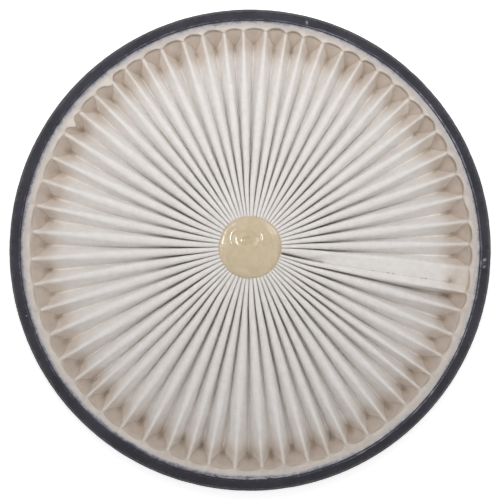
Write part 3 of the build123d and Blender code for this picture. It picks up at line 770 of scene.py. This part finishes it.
def build_seal():
    prof = [(73.1, 4.3), (74.3, 4.3), (74.62, 4.55)]
    prof += arc_points(74.75, 5.25, 0.25, -60, 0, 4)
    prof += [(75.0, 6.0), (75.0, 6.8), (75.0, 7.6)]
    prof += arc_points(74.75, 8.35, 0.25, 0, 60, 4)
    prof += [(74.62, 9.05), (74.3, 9.3), (73.1, 9.3)]
    prof = prof[::-1]

    def shift(r, z, a):
        k = smooth(r, 74.3, 75.0)
        dr = -np.abs(k * loop_noise(31, a, [6, 19, 55, 120], [0.03, 0.03, 0.025, 0.02]))
        return dr, k * loop_noise(32, a, [5, 16, 50], [0.03, 0.025, 0.02])
    return revolve("lip_seal", prof[::-1][::-1], 1080, rubber_material(), "rim_seal", None, shift)


def build_plug():
    mat = plug_material()
    cols = 480
    a = np.linspace(0, TAU, cols, endpoint=False)
    # outline: nearly round, drawn a little into each valley
    ridge = np.radians(pchip(KNOTS, RIDGE, np.array([10.2]))[0])
    valley = np.radians(pchip(KNOTS, VALLEY, np.array([10.2]))[0])

    def near(x, marks):
        d = (x[:, None] - marks[None, :] + math.pi) % TAU - math.pi
        return np.abs(d).min(1)
    comb = np.exp(-(near(a, valley) / 0.022) ** 2)
    out = 10.22 + loop_noise(41, a, [2, 3, 5, 9], [0.10, 0.08, 0.06, 0.05]) + 0.10 * (comb - 0.5)
    rows, rim = [], []
    fr = np.concatenate([np.linspace(0, 0.96, 57), [.972, .982, .99, .996, 1.0]])
    cx, cy = -1.0, 2.6

    def dome(x, y, f):
        z = 12.45 - 1.25 * f ** 2.4 - 0.85 * smooth(f, 0.88, 1.0) ** 2
        ex, ey = (x - cx) / 4.3, (y - cy) / 3.5
        rho = np.hypot(ex, ey)
        turn = np.arctan2(ey, ex)
        z = z + 0.27 * np.exp(-((rho - 0.92) / 0.17) ** 2) * np.clip(0.50 + 0.50 * np.cos(turn * 2) + 0.08 * np.sin(turn), 0, 1)
        z = z - 0.16 * (1 - smooth(rho, 0.45, 1.0))
        pit = np.hypot((x - cx - 0.1) / 2.0, (y - cy + 0.35) / 1.25)
        z = z - 0.62 * (1 - smooth(pit, 0.1, 1.15)) + 0.07 * np.exp(-((pit - 1.2) / 0.16) ** 2) * (y < cy + 0.4)
        # the ridge left at the right where the bead folded over itself
        fold = np.hypot(x + 0.2, y + 0.4)
        side = smooth(x, 3.0, 6.5)
        z = z + 0.19 * np.exp(-((fold - 7.75) / 0.32) ** 2) * side * smooth(y, -1.5, 1.0)
        z = z + 0.22 * np.exp(-((fold - 8.85) / 0.32) ** 2) * smooth(x, 6.0, 8.0) * smooth(-y, -5.0, -2.0)
        z = z + 0.05 * np.sin(0.9 * x + 1.3 * np.sin(0.5 * y)) * np.cos(0.7 * y) * (1 - f ** 4)
        return np.minimum(z, 12.78)
    for f in fr:
        x, y = f * out * np.cos(a), f * out * np.sin(a)
        z = dome(x, y, f + 0 * a) - 0.25 * comb * smooth(f, 0.9, 1.0)
        rows.append(np.stack([x, y + HUB_Y, z], -1))
        rim.append(smooth(f, 0.86, 1.0) + 0 * a)
    for rr, zz in ((0.992, 10.25), (0.965, 9.9), (0.93, 8.0), (0.93, 4.0), (0.965, 2.6), (0.995, 2.3), (1.0, 2.0)):
        rows.append(np.stack([rr * out * np.cos(a), rr * out * np.sin(a) + HUB_Y, zz - 0.3 * comb * (zz > 9)], -1))
        rim.append(1.0 + 0 * a)
    for f in fr[::-2]:
        x, y = f * out * np.cos(a), f * out * np.sin(a)
        z = 0.42 + 1.05 * f ** 3 + 0.05 * np.sin(0.8 * x) * np.cos(0.6 * y + 1) + 0.35 * smooth(f, 0.93, 1.0)
        rows.append(np.stack([x, y + HUB_Y, z], -1))
        rim.append(smooth(f, 0.86, 1.0) + 0 * a)
    rows, rim = np.array(rows), np.array(rim)
    # the two poles are single points
    S = len(rows)
    verts = [rows[0].mean(0)[None], rows[1:-1].reshape(-1, 3), rows[-1].mean(0)[None]]
    last = 1 + (S - 2) * cols
    faces = [tuple(f) for f in grid_faces(S - 2, cols) + 1]
    c = np.arange(cols)
    c1 = (c + 1) % cols
    faces += [(0, int(1 + i), int(1 + j)) for i, j in zip(c, c1)]
    off = 1 + (S - 3) * cols
    faces += [(last, int(off + j), int(off + i)) for i, j in zip(c, c1)]
    at = np.concatenate([[0.0], rim[1:-1].reshape(-1), [0.0]])
    return make("hot_melt_button", np.concatenate(verts), faces, mat, "centre_plug", {"rimmed": at})


def build_seam(front, radii):
    """Beads of glue squeezed out along the cut edge of the lap."""
    mat = seam_material()
    col = int(np.where((COL_PLEAT == SEAM + 1) & (COL_K == 1))[0][0])
    r = np.linspace(20.0, 67.5, 150)
    c0 = np.array([np.interp(r, radii[:, col], front[:, col, i]) for i in range(3)]).T
    c1 = np.array([np.interp(r, radii[:, col - 1], front[:, col - 1, i]) for i in range(3)]).T
    base = 0.35 * c0 + 0.65 * c1
    d = np.gradient(base, axis=0)
    d /= np.linalg.norm(d, axis=1)[:, None]
    side = np.cross(d, [0, 0, 1.0])
    side /= np.linalg.norm(side, axis=1)[:, None]
    size = 0.032 + 0.025 * wander(51, 1, r, 2.2)[0] + 0.05 * smooth(wander(52, 1, r, 1.1)[0], 0.3, 0.8)
    for at, big in ((43.7, 0.26), (45.2, 0.15), (54.3, 0.26), (55.5, 0.22), (61.6, 0.20), (39.0, 0.08)):
        size += big * np.exp(-((r - at) / 0.36) ** 2)
    size = np.maximum(size, 0.03) * np.minimum(1, np.minimum(smooth(r, 19.9, 20.8), smooth(r, 67.6, 66.6)) + 0.15)
    k = 8
    t = np.linspace(0, TAU, k, endpoint=False)
    rows = base[:, None, :] + side[:, None, :] * (np.cos(t) * 1.0)[None, :, None] * size[:, None, None] \
        + np.array([0, 0, 1.0]) * (np.sin(t)[None, :, None] * 0.8 * size[:, None, None] + 0.02)
    S = len(r)
    faces = [tuple(f) for f in grid_faces(S, k)]
    faces += [tuple(range(k)), tuple(range((S - 1) * k, S * k))[::-1]]
    return make("seam_glue_beads", rows.reshape(-1, 3), faces, mat, "seam_glue")


media, flat_area, (front_pts, front_radii) = build_media()
print("folded strip: one face's area", round(flat_area, 5), "m2")
build_potting()
build_ring()
build_seal()
build_plug()
build_seam(front_pts, front_radii)

# turn every closed mesh's faces outwards
for ob in [o for o in bpy.context.scene.objects if o.type == "MESH" and o.name in (
        "pleated_paper", "cast_glue_ring", "charcoal_ring", "lip_seal", "hot_melt_button", "seam_glue_beads")]:
    me = ob.data
    n = len(me.vertices)
    co = np.empty(n * 3)
    me.vertices.foreach_get("co", co)
    co = co.reshape(-1, 3)
    me.calc_loop_triangles()
    tri = np.empty(len(me.loop_triangles) * 3, int)
    me.loop_triangles.foreach_get("vertices", tri)
    tri = tri.reshape(-1, 3)
    vol = np.einsum("ij,ij->i", co[tri[:, 0]], np.cross(co[tri[:, 1]], co[tri[:, 2]])).sum() / 6
    if vol < 0:
        me.flip_normals()
    print(ob.name, "triangles", len(tri), "volume cm3", round(abs(vol) * 1e6, 2), "flipped" if vol < 0 else "")

# ---------------------------------------------------------------------- stage
floor = bpy.data.meshes.new("floor")
floor.from_pydata([(-3, -3, 0), (3, -3, 0), (3, 3, 0), (-3, 3, 0)], [], [(0, 1, 2, 3)])
floor.update()
fl = bpy.data.objects.new("floor", floor)
bpy.context.scene.collection.objects.link(fl)
fl.data.materials.append(floor_material())


def light(name, kind, at, target, energy, size, size_y=None, color=(1, 1, 1), spread=180):
    d = bpy.data.lights.new(name, "AREA")
    d.spread = math.radians(spread)
    d.shape = kind
    d.size = size
    if size_y:
        d.size_y = size_y
    d.energy = energy
    d.color = color
    o = bpy.data.objects.new(name, d)
    bpy.context.scene.collection.objects.link(o)
    o.location = at
    o.rotation_euler = (Vector(target) - Vector(at)).to_track_quat("-Z", "Y").to_euler()
    o.visible_camera = False
    # the broad panels only light, and the two window-like lamps only show as reflections
    o.visible_glossy = "lamp" in name
    o.visible_diffuse = "lamp" not in name
    return o


light("sky_panel", "RECTANGLE", (-0.01, 0.13, 0.40), (-0.01, 0.131, 0), 0.19, 0.22, 0.18, spread=80)
light("left_panel", "RECTANGLE", (-0.42, 0.04, 0.44), (0, 0, 0), 0.52, 0.45, 0.45)
light("right_panel", "RECTANGLE", (0.42, 0.04, 0.44), (0, 0, 0), 0.52, 0.45, 0.45)
light("left_lamp", "RECTANGLE", (-0.31, 0.13, 0.60), (0, 0, 0), 0.62, 0.26, 0.05)
light("right_lamp", "RECTANGLE", (0.34, 0.11, 0.60), (0, 0, 0), 1.05, 0.36, 0.06)

world = bpy.data.worlds.new("studio")
world.use_nodes = True
world.node_tree.nodes["Background"].inputs[0].default_value = (1.0, 0.995, 0.985, 1)
world.node_tree.nodes["Background"].inputs[1].default_value = 0.38
bpy.context.scene.world = world

DIST = 1.5
cam = bpy.data.cameras.new("camera")
cam.sensor_width = 36.0
cam.lens = 36.0 * (DIST - 0.0084) / (500 * 0.075 / 240.79)
cam.clip_start = 0.01
cam.dof.use_dof = False
co = bpy.data.objects.new("camera", cam)
bpy.context.scene.collection.objects.link(co)
co.location = (-0.00003, 0.00005, DIST)
co.rotation_euler = (0, 0, 0)
bpy.context.scene.camera = co
bpy.context.scene.view_settings.view_transform = "Standard"
